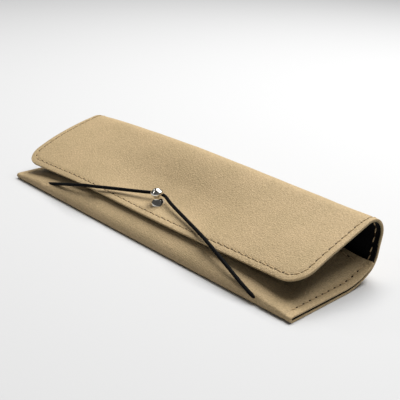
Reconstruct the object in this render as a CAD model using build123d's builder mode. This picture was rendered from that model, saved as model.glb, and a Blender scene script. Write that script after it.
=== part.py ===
from build123d import *
import math
import os

# Soft pouch glasses case: one leather strip is folded at the front into a pocket, rolled over at
# the back into a spine and brought forward as a flap, which an elastic cord holds on a button stud.
# Millimetres. X runs along the case, Y from the front fold to the spine, Z up from the table.
# Inside the sections below, y is counted from the front fold.

# Overall
length = 170.0
flat_length = 31.0          # part of the bottom that lies on the table
case_height = 26.0          # table to the top of the spine

# Plies of the sandwich, from outside to inside
leather = 0.80
board = 0.40
lining = 0.25
glue_line = 0.03
pocket_glue = 0.10          # looser, because the pocket's plies curve both ways

# Rolled back of the strip: a slow rise, a lower bend, a straight back wall and the crest
rise_radius = 32.0
rise_angle = 28.0
bend_radius = 9.0
back_angle = 80.0
crest_radius = 7.6
spine_fold_angle = 64.0     # direction of the strip where the spine bends away from the base
flap_fold_angle = 140.0     # direction of the strip where the flap bends away from the spine

# Flap
flap_front = 6.0            # front edge, behind the front fold
flap_slope = 21.5
flap_droop = 1.5            # how far the front edge rolls down from the straight slope
droop_start = 24.0
spine_inset = 0.6           # spine and flap root are narrower than the base, at each end
flap_taper = 2.2            # further inset of the flap's front edge, at each end
flap_corner = 8.5
dish_depth = 4.2            # hollow that the stud is pulled down into
dish_centre = 21.0
dish_front_reach = 18.0
dish_half_width = 36.0

# Pocket
side_seam = 3.0             # row of stitches, in from the end
mouth_dip = 5.0             # how far the mouth runs forward at the middle
flap_gap = 1.1              # air under the flap
mouth_drop = 5.7            # how far the mouth sinks away from the flap
bulge_power = 3.0
bulge_ease = 0.8
ply_gap = 0.05              # between the two linings, which aren't glued
fold_gap = 0.1              # between the folded leather and the base plies behind it
# Front wall: y, and its height as a share of the height under the flap edge, where the pocket
# bulges fully and where it is stitched flat
front_wall = ((0.0, 0.20, 0.62), (0.55, 0.42, 0.91), (2.2, 0.68, 1.0))

# Button stud and its screw
stud_y = 15.5
flange_diameter = 6.2
flange_thickness = 0.5
flange_bed = 0.2            # how deep the flange is pressed into the leather
bed_clearance = 0.05
neck_diameter = 3.0
neck_height = 2.2           # narrowest place, above the leather
head_underside = 3.75       # above the leather
head_diameter = 5.0
head_equator = 5.0
head_edge_round = 1.1
stud_height = 7.0
thread_diameter_in_stud = 1.6
thread_depth = 2.0
thread_clearance = 0.03
hole_over_shank = 0.15
screw_head_diameter = 5.0
screw_head_thickness = 0.5
slot_width = 0.6
slot_depth = 0.25

# Elastic cord
cord_diameter = 1.3
cord_hole_x = 66.0
cord_hole_y = 3.5
hole_clearance = 0.15
cord_clearance = 0.08
cord_height = 3.0           # centre of the cord on the stud, above the leather
cord_off_neck = 0.2         # the cord rides where the neck has begun to flare
crossing_x = 39.0           # where the cord bears on the flap's front edge
crossing_lift = 0.95
crossing_radius = 15.0
knot_diameter = 2.2
knot_outboard = 4.5         # from a hole to its knot
knot_behind = 5.0

# Stitches
stitch_pitch = 3.5
stitch_length = 2.5
sewing_thread = 0.45
thread_lift = 0.15          # keeps a straight stitch clear of curved leather
edge_row = 2.5              # rows of stitches, in from the edge

# ---------------------------------------------------------------- the rolled strip
rise = math.radians(rise_angle)
back = math.radians(back_angle)
rise_centre = (flat_length, rise_radius)
bend_centre = (
    rise_centre[0] + (rise_radius - bend_radius) * math.sin(rise),
    rise_centre[1] - (rise_radius - bend_radius) * math.cos(rise),
)
bend_end_z = bend_centre[1] - bend_radius * math.cos(back)
crest_start_z = case_height - crest_radius * (1 + math.cos(back))
wall_run = (crest_start_z - bend_end_z) / math.sin(back)
crest_centre = (
    bend_centre[0] + wall_run * math.cos(back) + (bend_radius - crest_radius) * math.sin(back),
    case_height - crest_radius,
)
depth = crest_centre[0] + crest_radius
stitch_proud = sewing_thread + thread_lift   # how far a stitch stands out of the leather
front = -(depth + stitch_proud) / 2
half = length / 2
spine_half = half - spine_inset
flap_half = spine_half - flap_taper

# Depth of each ply's two faces below the leather's outer face
panel_faces = (0.0, leather)
board_faces = (leather + glue_line, leather + glue_line + board)
lining_faces = (board_faces[1] + glue_line, board_faces[1] + glue_line + lining)
sandwich = lining_faces[1]
pocket_faces = (0.0, leather)
pocket_lining_faces = (leather + pocket_glue, leather + pocket_glue + lining)
pocket_stack = sandwich + ply_gap + pocket_lining_faces[1]


def place(x, y, z):
    """A point in the part's frame, from a y counted from the front fold."""
    return (x, front + y, z)


def around(centre, radius, degrees, inward=0.0):
    """(y, z) on a bend of the strip where it runs in that direction, inward from its outer face."""
    turn = math.radians(degrees)
    reach = radius - inward
    return (front + centre[0] + reach * math.sin(turn), centre[1] - reach * math.cos(turn))


def arc_on(centre, radius, first, last, inward):
    """An arc along one bend, between two directions of the strip."""
    middle = (first + last) / 2
    return ThreePointArc(
        around(centre, radius, first, inward),
        around(centre, radius, middle, inward),
        around(centre, radius, last, inward),
    )


def base_outline(inward):
    """Line along the flat bottom, the rise and the lower bend, at one depth of the sandwich."""
    start = (front + leather + fold_gap, inward)
    return [
        Line(start, (front + flat_length, inward)),
        arc_on(rise_centre, rise_radius, 0, rise_angle, inward),
        arc_on(bend_centre, bend_radius, rise_angle, spine_fold_angle, inward),
    ]


def spine_outline(inward):
    """Lower bend, back wall and crest, at one depth of the sandwich."""
    wall_start = around(bend_centre, bend_radius, back_angle, inward)
    wall_end = around(crest_centre, crest_radius, back_angle, inward)
    return [
        arc_on(bend_centre, bend_radius, spine_fold_angle, back_angle, inward),
        Line(wall_start, wall_end),
        arc_on(crest_centre, crest_radius, back_angle, flap_fold_angle, inward),
    ]


def rolled_ply(outline, faces, half_width):
    """One ply of the strip where its section is constant, extruded to both ends."""
    with BuildPart() as sheet:
        with BuildSketch(Plane.YZ):
            with BuildLine():
                outer = outline(faces[0])
                inner = outline(faces[1])
                add(outer)
                add(inner)
                Line(outer[0] @ 0, inner[0] @ 0)
                Line(outer[-1] @ 1, inner[-1] @ 1)
            make_face()
        extrude(amount=half_width, both=True)
    return sheet.part


# ---------------------------------------------------------------- the flap's shape
step = 0.1                  # for slopes worked out from heights
slope = math.radians(flap_slope)
crest_end = (
    crest_centre[0] - crest_radius * math.sin(slope),
    crest_centre[1] + crest_radius * math.cos(slope),
)


def dish(x, y):
    """How far the stud and the cord pull the flap down at a point."""
    reach = dish_front_reach if y < dish_centre else crest_end[0] - dish_centre
    share = min(abs(y - dish_centre) / reach, 1.0)
    return dish_depth * math.cos(share * math.pi / 2) ** 2 * math.exp(-((x / dish_half_width) ** 2))


def flap_height(x, y):
    """Height of the flap's outer face."""
    height = crest_end[1] - (crest_end[0] - y) * math.tan(slope)
    if y < droop_start:
        height -= flap_droop * ((droop_start - y) / (droop_start - flap_front)) ** 2
    return height - dish(x, y)


def offset_point(height, x, y, inward):
    """(y, z) of a point inward from a surface, square to it."""
    slope_here = (height(x, y + step) - height(x, y - step)) / (2 * step)
    across = math.hypot(1, slope_here)
    return (front + y + inward * slope_here / across, height(x, y) - inward / across)


flap_rows = (38.0, 33.0, 27.0, 21.0, stud_y, 10.0, flap_front)


def flap_section(x, inward):
    """(y, z) points along the flap from the fold at the crest to the front edge."""
    crest = (flap_fold_angle, 155, 170, 185, 180 + flap_slope)
    points = [around(crest_centre, crest_radius, a, inward) for a in crest]
    return points + [offset_point(flap_height, x, y, inward) for y in flap_rows]


def thin_face(outer, inner):
    """A thin face between two curves, closed by straight ends."""
    with BuildSketch() as face:
        with BuildLine():
            upper = Spline(*outer)
            lower = Spline(*inner)
            Line(upper @ 0, lower @ 0)
            Line(upper @ 1, lower @ 1)
        make_face()
    return face.sketch


flap_stations = [k * spine_half / 8 for k in range(-8, 9)]


def flap_ply(faces):
    """One ply of the flap, lofted along the case and cut to a tapered plan with round corners."""
    root = front + depth
    edge = front + flap_front - leather
    with BuildPart() as sheet:
        for x in flap_stations:
            with BuildSketch(Plane.YZ.offset(x)):
                add(thin_face(flap_section(x, faces[0]), flap_section(x, faces[1])))
        loft(ruled=True)
        with BuildSketch() as plan:
            with BuildLine():
                Polyline(
                    (-spine_half, root), (spine_half, root), (flap_half, edge), (-flap_half, edge), close=True
                )
            make_face()
            fillet(plan.vertices().group_by(Axis.Y)[0], flap_corner)
        extrude(amount=2 * case_height, mode=Mode.INTERSECT)
    return sheet.part


# ---------------------------------------------------------------- the pocket's shape
seam_x = half - side_seam


def swell(x):
    """How far the pocket bulges: 0 at the side seams, 1 at the middle."""
    share = min(abs(x) / seam_x, 1.0)
    return max(1 - share**bulge_power, 0.0) ** bulge_ease


def pocket_floor(y):
    """Height of the pocket's outer face where it is stitched flat to the base."""
    bend_start = rise_centre[0] + (rise_radius - pocket_stack) * math.sin(rise)
    if y < flat_length:
        return pocket_stack
    if y < bend_start:
        return rise_centre[1] - math.sqrt((rise_radius - pocket_stack) ** 2 - (y - rise_centre[0]) ** 2)
    return bend_centre[1] - math.sqrt((bend_radius - pocket_stack) ** 2 - (y - bend_centre[0]) ** 2)


mouth_end = bend_centre[0] + (bend_radius - pocket_stack) * math.sin(math.radians(spine_fold_angle - 3))


def mouth(x):
    """y of the pocket's mouth edge."""
    return mouth_end - mouth_dip * swell(x)


def full_height(x, y):
    """Height of the pocket's outer face where it bulges fully."""
    sink = mouth_drop * ((y - flap_front) / (mouth_end - mouth_dip - flap_front)) ** 2
    return flap_height(x, min(y, crest_end[0])) - sandwich - flap_gap - sink


def pocket_height(x, y):
    """Height of the pocket's outer face behind the front wall."""
    floor = pocket_floor(y)
    return floor + swell(x) * (full_height(x, y) - floor)


def wall_height(x, y):
    """Height of the front wall's outer face, above its last row and below the flap's edge."""
    top = pocket_height(x, flap_front)
    wall_y, full, flat = front_wall[-1]
    wall_top = top * (flat + (full - flat) * swell(x))
    return wall_top + (top - wall_top) * (y - wall_y) / (flap_front - wall_y)


def pocket_wall(x, inward):
    """(y, z) points up the front wall, from the fold."""
    top = pocket_height(x, flap_front)
    heights = [top * (flat + (full - flat) * swell(x)) for y, full, flat in front_wall]
    outer = [(0.0, 0.0)] + [(row[0], z) for row, z in zip(front_wall, heights)] + [(flap_front, top)]
    points = []
    for before, (y, z), after in zip([outer[0]] + outer, outer, outer[1:]):
        run = math.hypot(after[0] - before[0], after[1] - before[1])
        inner_y = y + inward * (after[1] - before[1]) / run
        points.append((front + inner_y, z - inward * (after[0] - before[0]) / run))
    return points


def pocket_section(x, inward, first=0):
    """(y, z) points of the pocket from the front fold, or a later point of the wall, to the mouth."""
    last = mouth(x)
    behind = [flap_front, 10.0, stud_y, 21.0, 27.0, 33.0] + [last - step_in for step_in in (9, 6, 3.5, 1.5, 0)]
    return pocket_wall(x, inward)[first:] + [offset_point(pocket_height, x, y, inward) for y in behind]


seam_stations = [half, seam_x] + [seam_x - inboard for inboard in (2, 5, 9, 14, 20, 28, 38, 50, 65)]
pocket_stations = [-x for x in seam_stations] + [0.0] + [x for x in reversed(seam_stations)]


def pocket_ply(faces, first):
    """One ply of the pocket, lofted from end to end, from its section's point number first on."""
    with BuildPart() as sheet:
        for x in pocket_stations:
            with BuildSketch(Plane.YZ.offset(x)):
                add(thin_face(pocket_section(x, faces[0], first), pocket_section(x, faces[1], first)))
        loft(ruled=True)
    return sheet.part


# ---------------------------------------------------------------- where the stud stands
stud_slope = math.atan((flap_height(0, stud_y + step) - flap_height(0, stud_y - step)) / (2 * step))
stud_normal = Vector(0, -math.sin(stud_slope), math.cos(stud_slope))
stud_uphill = Vector(0, math.cos(stud_slope), math.sin(stud_slope))
stud_foot = Vector(*place(0, stud_y, flap_height(0, stud_y)))
stud_section = Plane(origin=stud_foot, x_dir=(1, 0, 0), z_dir=-stud_uphill)
thread_radius = thread_diameter_in_stud / 2


def on_stud(height):
    """The plane square to the stud's axis, at a height above the leather."""
    return Plane(origin=stud_foot + stud_normal * height, x_dir=(1, 0, 0), z_dir=stud_normal)


# The head is a round rim and a dome that runs on from it
rim_centre = head_diameter / 2 - head_edge_round
dome_angle = math.pi / 2 - 2 * math.atan((stud_height - head_equator - head_edge_round) / rim_centre)
dome_radius = rim_centre / math.cos(dome_angle) + head_edge_round


def on_head(degrees):
    """A point of the head's round rim, in the stud's section."""
    a = math.radians(degrees)
    return (rim_centre + head_edge_round * math.cos(a), head_equator + head_edge_round * math.sin(a))


def on_dome(degrees):
    """A point of the head's dome, in the stud's section."""
    a = math.radians(degrees)
    return (dome_radius * math.cos(a), stud_height - dome_radius + dome_radius * math.sin(a))


# ---------------------------------------------------------------- the elastic cord's route
cord_radius = cord_diameter / 2
knot_radius = knot_diameter / 2


def hole_point(side):
    """Centre of a punched hole, in the middle of the pocket's leather."""
    x = side * cord_hole_x
    return Vector(*place(x, cord_hole_y, wall_height(x, cord_hole_y) - leather / 2))


def knot_point(side):
    """Centre of a knot, inside the pocket and outboard of its hole."""
    height = sandwich + 3 * ply_gap + knot_radius
    return Vector(*place(side * (cord_hole_x + knot_outboard), cord_hole_y + knot_behind, height))


def crossing_point(side):
    """Where the cord bends over the flap's front edge."""
    edge = flap_height(crossing_x, flap_front) + cord_radius + crossing_lift
    return Vector(*place(side * crossing_x, flap_front - leather / 2, edge))


loop_radius = neck_diameter / 2 + cord_off_neck + cord_clearance + cord_radius
stud_level = on_stud(cord_height).origin
half_turn = math.atan2((stud_level - crossing_point(1)).Y, crossing_x)
apex = stud_level + stud_uphill * (loop_radius / math.cos(half_turn))
cord_points = [
    knot_point(-1),
    hole_point(-1),
    crossing_point(-1),
    apex,
    crossing_point(1),
    hole_point(1),
    knot_point(1),
]


def hole_bend(knot, hole, crossing):
    """Radius of the cord's bend through a hole, as large as the shorter run allows."""
    turn = math.radians((hole - knot).get_angle(crossing - hole))
    return 0.45 * (hole - knot).length / math.tan(turn / 2)


left_bend = hole_bend(*cord_points[:3])
right_bend = hole_bend(*cord_points[:-4:-1])
cord_radii = [left_bend, crossing_radius, loop_radius, crossing_radius, right_bend]


def cord_tube(diameter):
    """A tube along the cord's route."""
    with BuildPart() as tube:
        with BuildLine():
            route = FilletPolyline(*cord_points, radius=cord_radii)
        with BuildSketch(Plane(origin=route @ 0, z_dir=route % 0)):
            Circle(diameter / 2)
        sweep(path=route)
    return tube.part


# ---------------------------------------------------------------- rows of stitches
lift = sewing_thread / 2 + thread_lift


def on_flap(x, y):
    """A point just above the flap's leather."""
    rise_here = (flap_height(x, y + step) - flap_height(x, y - step)) / (2 * step)
    across = math.hypot(1, rise_here)
    return Vector(*place(x, y - lift * rise_here / across, flap_height(x, y) + lift / across))


def on_pocket(x, y):
    """A point just above the pocket's leather."""
    rise_here = (pocket_height(x, y + step) - pocket_height(x, y - step)) / (2 * step)
    across = math.hypot(1, rise_here)
    return Vector(*place(x, y - lift * rise_here / across, pocket_height(x, y) + lift / across))


def stitch_places(points):
    """A plane for each stitch along a row of points, evenly spaced."""
    with BuildLine():
        row = Polyline(*points)
    count = round(row.length / stitch_pitch)
    places = []
    for k in range(count):
        start = row @ ((k + 0.5 - stitch_length / stitch_pitch / 2) / count)
        end = row @ ((k + 0.5 + stitch_length / stitch_pitch / 2) / count)
        places.append(Plane(origin=(start + end) / 2, z_dir=end - start))
    return places


def flap_row():
    """Round the flap, from the left end of the crest to the right one."""
    corner = flap_corner - edge_row
    end_x = flap_half - edge_row
    front_y = flap_front + edge_row
    sides = [(end_x, y) for y in (front_y + corner, 24.0, 29.0, 34.0, crest_end[0] - 1)]
    turn = [math.radians(9 * k) for k in range(1, 10)]
    round_corner = [
        (end_x - corner + corner * math.cos(a), front_y + corner - corner * math.sin(a)) for a in turn
    ]
    middle = [(x, front_y) for x in range(60, -1, -5)]
    right_half = [on_flap(x, y) for x, y in sides[::-1] + round_corner + middle]
    left_half = [Vector(-p.X, p.Y, p.Z) for p in right_half[:-1]]
    return left_half + right_half[::-1]


def spine_row(side):
    """Round one end of the spine, from the base to the crest."""
    x = side * (spine_half - edge_row)
    out = -lift
    bends = [around(bend_centre, bend_radius, a, out) for a in range(int(spine_fold_angle) + 6, 81, 5)]
    crest = [around(crest_centre, crest_radius, a, out) for a in range(80, int(flap_fold_angle) - 5, 6)]
    return [Vector(x, y, z) for y, z in bends + crest]


def side_row(side):
    """Along one side seam, from the front corner to the mouth."""
    last = mouth_end - edge_row / 2
    return [on_pocket(side * seam_x, y) for y in (4.0, 12.0, 20.0, 28.0, 34.0, 38.0, 41.0, 43.0, last)]


def mouth_row():
    """Along the pocket's mouth, between the side seams."""
    reach = seam_x - edge_row
    return [on_pocket(k * reach / 16, mouth(k * reach / 16) - edge_row) for k in range(-16, 17)]


# ---------------------------------------------------------------- base
with BuildPart() as base_panel:
    add(rolled_ply(base_outline, panel_faces, half))
base_panel.part.label = "base_panel"

with BuildPart() as base_board:
    add(rolled_ply(base_outline, board_faces, half))
base_board.part.label = "base_board"

with BuildPart() as base_lining:
    add(rolled_ply(base_outline, lining_faces, half))
base_lining.part.label = "base_lining"

with BuildPart() as pocket_panel:
    add(pocket_ply(pocket_faces, 0))
    add(cord_tube(cord_diameter + 2 * hole_clearance), mode=Mode.SUBTRACT)
pocket_panel.part.label = "pocket_panel"

with BuildPart() as pocket_lining:
    add(pocket_ply(pocket_lining_faces, len(front_wall)))
    add(cord_tube(cord_diameter + 2 * hole_clearance), mode=Mode.SUBTRACT)
pocket_lining.part.label = "pocket_lining"

# ---------------------------------------------------------------- spine
with BuildPart() as spine_panel:
    add(rolled_ply(spine_outline, panel_faces, spine_half))
spine_panel.part.label = "spine_panel"

with BuildPart() as spine_board:
    add(rolled_ply(spine_outline, board_faces, spine_half))
spine_board.part.label = "spine_board"

with BuildPart() as spine_lining:
    add(rolled_ply(spine_outline, lining_faces, spine_half))
spine_lining.part.label = "spine_lining"

# ---------------------------------------------------------------- flap
with BuildPart() as flap_panel:
    add(flap_ply(panel_faces))
    with Locations(on_stud(-flange_bed)):
        Cylinder(
            flange_diameter / 2 + bed_clearance,
            stud_height,
            align=(Align.CENTER, Align.CENTER, Align.MIN),
            mode=Mode.SUBTRACT,
        )
    with Locations(on_stud(0)):
        Cylinder(thread_radius + hole_over_shank, 4 * sandwich, mode=Mode.SUBTRACT)
flap_panel.part.label = "flap_panel"

with BuildPart() as flap_board:
    add(flap_ply(board_faces))
    with Locations(on_stud(0)):
        Cylinder(thread_radius + hole_over_shank, 4 * sandwich, mode=Mode.SUBTRACT)
flap_board.part.label = "flap_board"

with BuildPart() as flap_lining:
    add(flap_ply(lining_faces))
    with Locations(on_stud(0)):
        Cylinder(thread_radius + hole_over_shank, 4 * sandwich, mode=Mode.SUBTRACT)
flap_lining.part.label = "flap_lining"

# ---------------------------------------------------------------- stud and screw
with BuildPart() as button_stud:
    with BuildSketch(stud_section):
        with BuildLine():
            bore = thread_radius + thread_clearance
            bore_top = thread_depth - flange_bed
            rim = (flange_diameter / 2, flange_thickness - flange_bed)
            neck = (neck_diameter / 2, neck_height)
            collar = (neck_diameter / 2 + 2 * cord_off_neck, head_underside)
            under, dome_start = on_head(-60), on_head(math.degrees(dome_angle))
            Polyline((0, bore_top), (bore, bore_top), (bore, -flange_bed), (rim[0], -flange_bed), rim)
            ThreePointArc(rim, (neck[0] + 0.45, (rim[1] + neck[1]) / 2 - 0.25), neck)
            Polyline(neck, (neck[0], cord_height), collar, under)
            ThreePointArc(under, on_head(0), dome_start)
            ThreePointArc(dome_start, on_dome((math.degrees(dome_angle) + 90) / 2), on_dome(90))
            Line((0, stud_height), (0, bore_top))
        make_face()
    revolve(axis=Axis(stud_foot, stud_normal))
button_stud.part.label = "button_stud"

screw_seat = -sandwich - glue_line
with BuildPart() as stud_screw:
    with Locations(on_stud(screw_seat - screw_head_thickness)):
        Cylinder(screw_head_diameter / 2, screw_head_thickness, align=(Align.CENTER, Align.CENTER, Align.MIN))
    with Locations(on_stud(screw_seat)):
        Cylinder(
            thread_radius,
            thread_depth - flange_bed - thread_clearance - screw_seat,
            align=(Align.CENTER, Align.CENTER, Align.MIN),
        )
    with Locations(on_stud(screw_seat - screw_head_thickness)):
        Box(screw_head_diameter, slot_width, 2 * slot_depth, mode=Mode.SUBTRACT)
stud_screw.part.label = "stud_screw"

# ---------------------------------------------------------------- elastic cord and its knots
with BuildPart() as elastic_cord:
    add(cord_tube(cord_diameter))
elastic_cord.part.label = "elastic_cord"

with BuildPart() as left_knot:
    with Locations(knot_point(-1)):
        Sphere(knot_radius)
    add(cord_tube(cord_diameter), mode=Mode.SUBTRACT)
left_knot.part.label = "left_knot"

with BuildPart() as right_knot:
    with Locations(knot_point(1)):
        Sphere(knot_radius)
    add(cord_tube(cord_diameter), mode=Mode.SUBTRACT)
right_knot.part.label = "right_knot"

# ---------------------------------------------------------------- stitching
rows = {
    "flap_stitching": flap_row(),
    "left_spine_stitching": spine_row(-1),
    "right_spine_stitching": spine_row(1),
    "left_side_stitching": side_row(-1),
    "right_side_stitching": side_row(1),
    "mouth_stitching": mouth_row(),
}
stitching = []
for name, points in rows.items():
    with BuildPart() as stitches:
        with Locations(*stitch_places(points)):
            Cylinder(sewing_thread / 2, stitch_length)
    stitches.part.label = name
    stitching.append(stitches)

# ---------------------------------------------------------------- files
pieces = [
    base_panel, base_board, base_lining, pocket_panel, pocket_lining,
    spine_panel, spine_board, spine_lining,
    flap_panel, flap_board, flap_lining, button_stud, stud_screw,
    elastic_cord, left_knot, right_knot,
] + stitching
os.makedirs("parts", exist_ok=True)
for piece in pieces:
    export_step(piece.part, f"parts/{piece.part.label}.step")

with BuildLine():
    cord_route = FilletPolyline(*cord_points, radius=cord_radii)
cord_share = elastic_cord.part.volume / (math.pi * cord_radius**2 * cord_route.length)
print("cord bend radii, mm:", [round(r, 1) for r in cord_radii])
print("cord length, mm:", round(cord_route.length, 1))
print("cord volume over section times length:", round(cord_share, 4))
print("depth, mm:", round(depth, 2))
print("folds, mm:", around(bend_centre, bend_radius, spine_fold_angle),
      around(crest_centre, crest_radius, flap_fold_angle))
print("hole, mm:", hole_point(1))
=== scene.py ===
# %% [markdown]
# # Soft pouch glasses case
# One strip of lined leather is folded into a pocket at the front, rolled over at the back and
# brought forward as a flap. A black elastic cord holds the flap on a nickel button stud.
# The imported model is the frame: every piece here sits where that frame says, and some
# pieces hang on an empty named for their body.

# %% Load the frame
import math

import bmesh
import bpy
import numpy as np
from mathutils import Matrix, Vector, noise
from mathutils.bvhtree import BVHTree


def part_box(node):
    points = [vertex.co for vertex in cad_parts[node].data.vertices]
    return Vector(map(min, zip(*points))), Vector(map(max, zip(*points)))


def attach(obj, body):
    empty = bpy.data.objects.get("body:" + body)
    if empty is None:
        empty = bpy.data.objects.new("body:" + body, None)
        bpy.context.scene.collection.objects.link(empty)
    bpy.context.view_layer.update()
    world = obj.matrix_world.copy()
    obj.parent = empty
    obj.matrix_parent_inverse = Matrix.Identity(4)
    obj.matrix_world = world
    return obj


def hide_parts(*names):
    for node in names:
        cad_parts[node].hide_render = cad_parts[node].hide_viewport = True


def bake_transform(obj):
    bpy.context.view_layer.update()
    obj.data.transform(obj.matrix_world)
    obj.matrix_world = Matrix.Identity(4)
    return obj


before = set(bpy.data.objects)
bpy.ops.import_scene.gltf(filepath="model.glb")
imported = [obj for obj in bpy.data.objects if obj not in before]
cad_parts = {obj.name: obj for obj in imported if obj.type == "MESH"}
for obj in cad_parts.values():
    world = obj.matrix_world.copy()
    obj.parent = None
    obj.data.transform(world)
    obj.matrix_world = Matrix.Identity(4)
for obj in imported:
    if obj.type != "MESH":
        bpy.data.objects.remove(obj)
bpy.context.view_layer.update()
MM = 0.001


def add_object(name, data):
    """A new object in the scene, with that mesh, camera or light."""
    obj = bpy.data.objects.new(name, data)
    bpy.context.scene.collection.objects.link(obj)
    return obj


def edge_of(node, corner, axis):
    """One coordinate of a CAD node's box, in millimetres."""
    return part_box(node)[corner][axis] / MM


# %% [markdown]
# ## Sizes
# Millimetres. Inside a section y is counted from the front fold, as in the CAD source, and the
# frame gives where that fold lies, how long the case is and how high its crest stands.

# %% Sizes
HALF = edge_of("base_panel", 1, 0)
BASE_START = 0.9
FRONT = edge_of("base_panel", 0, 1) - BASE_START
CREST_Z = edge_of("flap_panel", 1, 2)
SPINE_HALF = edge_of("spine_panel", 1, 0)
FLAP_TAPER = 2.2

LEATHER = 0.80
BOARD = 0.40
LINING = 0.25
GLUE = 0.03
LEATHER_PLY = (0.0, LEATHER)
BOARD_PLY = (LEATHER + GLUE, LEATHER + GLUE + BOARD)
LINING_PLY = (BOARD_PLY[1] + GLUE, BOARD_PLY[1] + GLUE + LINING)
SANDWICH = LINING_PLY[1]
POCKET_LINING_PLY = (LEATHER + GLUE, LEATHER + GLUE + LINING)
PLY_GAP = 0.05
POCKET_STACK = SANDWICH + PLY_GAP + POCKET_LINING_PLY[1] + 0.07

FLAT = 31.0
RISE_RADIUS = 32.0
RISE_ANGLE = 28.0
BEND_RADIUS = 9.0
BACK_ANGLE = 80.0
CREST_RADIUS = 7.6

FLAP_FRONT = 6.0
FLAP_SLOPE = math.radians(21.5)
FLAP_DROOP = 1.5
DROOP_START = 24.0
FLAP_CORNER = 8.5
DISH_DEPTH = 3.75
DISH_CENTRE = 19.0
DISH_REACH = 16.0
DISH_HALF_WIDTH = 36.0
# How far the soft flap has settled: its left end in at the crest, out, ahead and down in front,
# and down at the crest; its right end up in front; and its crest up in the middle.
LEFT_IN = 3.0
LEFT_OUT = 3.5
LEFT_AHEAD = 2.0
LEFT_SINK = 1.3
LEFT_DROOP = 1.0
RIGHT_LIFT = 1.3
CREST_FULL = 1.6

SEAM_INSET = 3.0  # the side seams' stitches, in from the ends
SEAM_X = HALF - SEAM_INSET
MOUTH_DIP = 5.0
FLAP_GAP = 1.1
MOUTH_DROP = 5.7
FOLD_RADIUS = POCKET_STACK / 2
RIM = 0.5

STUD_Y = 15.5
CORD = 1.45  # the cord across, with its braid
EDGE_ROW = 2.5  # the flap's and the mouth's stitches, in from the cut edge
PITCH = 3.5
THREAD = 0.45

# %% [markdown]
# ## Sections of the strip
# The bottom rises slowly, turns up in a tighter bend, runs up the back wall and rolls over the
# crest. The flap falls from there towards the front, hollowed where the stud is pulled down, and
# the pocket swells up under it between its two side seams.

# %% Shape functions
RISE = math.radians(RISE_ANGLE)
BACK = math.radians(BACK_ANGLE)
RISE_CENTRE = (FLAT, RISE_RADIUS)
BEND_CENTRE = (
    RISE_CENTRE[0] + (RISE_RADIUS - BEND_RADIUS) * math.sin(RISE),
    RISE_CENTRE[1] - (RISE_RADIUS - BEND_RADIUS) * math.cos(RISE),
)
WALL_LOW = BEND_CENTRE[1] - BEND_RADIUS * math.cos(BACK)
WALL_TOP = CREST_Z - CREST_RADIUS * (1 + math.cos(BACK))
WALL_RUN = (WALL_TOP - WALL_LOW) / math.sin(BACK)
CREST_CENTRE = (
    BEND_CENTRE[0] + WALL_RUN * math.cos(BACK) + (BEND_RADIUS - CREST_RADIUS) * math.sin(BACK),
    CREST_Z - CREST_RADIUS,
)
CREST_END = (
    CREST_CENTRE[0] - CREST_RADIUS * math.sin(FLAP_SLOPE),
    CREST_CENTRE[1] + CREST_RADIUS * math.cos(FLAP_SLOPE),
)
DEPTH = CREST_CENTRE[0] + CREST_RADIUS


def around(centre, radius, degrees):
    """(y, z) on a bend of the strip where it runs in that direction."""
    turn = math.radians(degrees)
    return (centre[0] + radius * math.sin(turn), centre[1] - radius * math.cos(turn))


def bump(value, centre, width):
    """A smooth bump of height 1."""
    return math.exp(-(((value - centre) / width) ** 2))


def dish(x, y):
    """How far the stud and the cord pull the flap down."""
    reach = DISH_REACH if y < DISH_CENTRE else CREST_END[0] - DISH_CENTRE
    share = min(abs(y - DISH_CENTRE) / reach, 1.0)
    return DISH_DEPTH * math.cos(share * math.pi / 2) ** 2 * bump(x, 0, DISH_HALF_WIDTH)


def flap_height(x, y):
    """Height of the flap's outer face."""
    height = CREST_END[1] - (CREST_END[0] - y) * math.tan(FLAP_SLOPE)
    if y < DROOP_START:
        height -= FLAP_DROOP * ((DROOP_START - y) / (DROOP_START - FLAP_FRONT)) ** 2
    return height - dish(x, y)


def settle(x, y, z):
    """Where a point of the flap ends up in soft leather."""
    left = np.clip(-(x + 20) / 65, 0, 1) ** 2
    right = np.clip((x - 20) / 65, 0, 1) ** 2
    forward = np.clip((CREST_END[0] - (y - FRONT)) / (CREST_END[0] - FLAP_FRONT), 0, 1)
    high = np.clip((z - WALL_TOP) / (CREST_Z - WALL_TOP), 0, 1)
    crest = np.clip(1 - np.abs(x + 10) / 75, 0, 1) ** 0.7 * high
    slide = left * (LEFT_IN * high * (1 - forward) ** 2 - LEFT_OUT * forward)
    sink = left * (LEFT_SINK * forward + LEFT_DROOP * high * (1 - forward)) - right * RIGHT_LIFT * forward
    return np.stack([x + slide, y - LEFT_AHEAD * left * forward, z - sink + CREST_FULL * crest], axis=-1)


def swell(x):
    """How far the pocket bulges: 0 at the side seams, 1 at the middle."""
    share = min(abs(x) / SEAM_X, 1.0)
    return max(1 - share**3, 0.0) ** 0.8


def pocket_floor(y):
    """Height of the pocket's outer face where it is stitched flat to the base."""
    bend_start = RISE_CENTRE[0] + (RISE_RADIUS - POCKET_STACK) * math.sin(RISE)
    if y < FLAT:
        return POCKET_STACK
    if y < bend_start:
        return RISE_CENTRE[1] - math.sqrt((RISE_RADIUS - POCKET_STACK) ** 2 - (y - RISE_CENTRE[0]) ** 2)
    return BEND_CENTRE[1] - math.sqrt((BEND_RADIUS - POCKET_STACK) ** 2 - (y - BEND_CENTRE[0]) ** 2)


MOUTH_END = BEND_CENTRE[0] + (BEND_RADIUS - POCKET_STACK) * math.sin(math.radians(61))


def mouth(x):
    """y of the pocket's mouth edge."""
    return MOUTH_END - MOUTH_DIP * swell(x)


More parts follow.
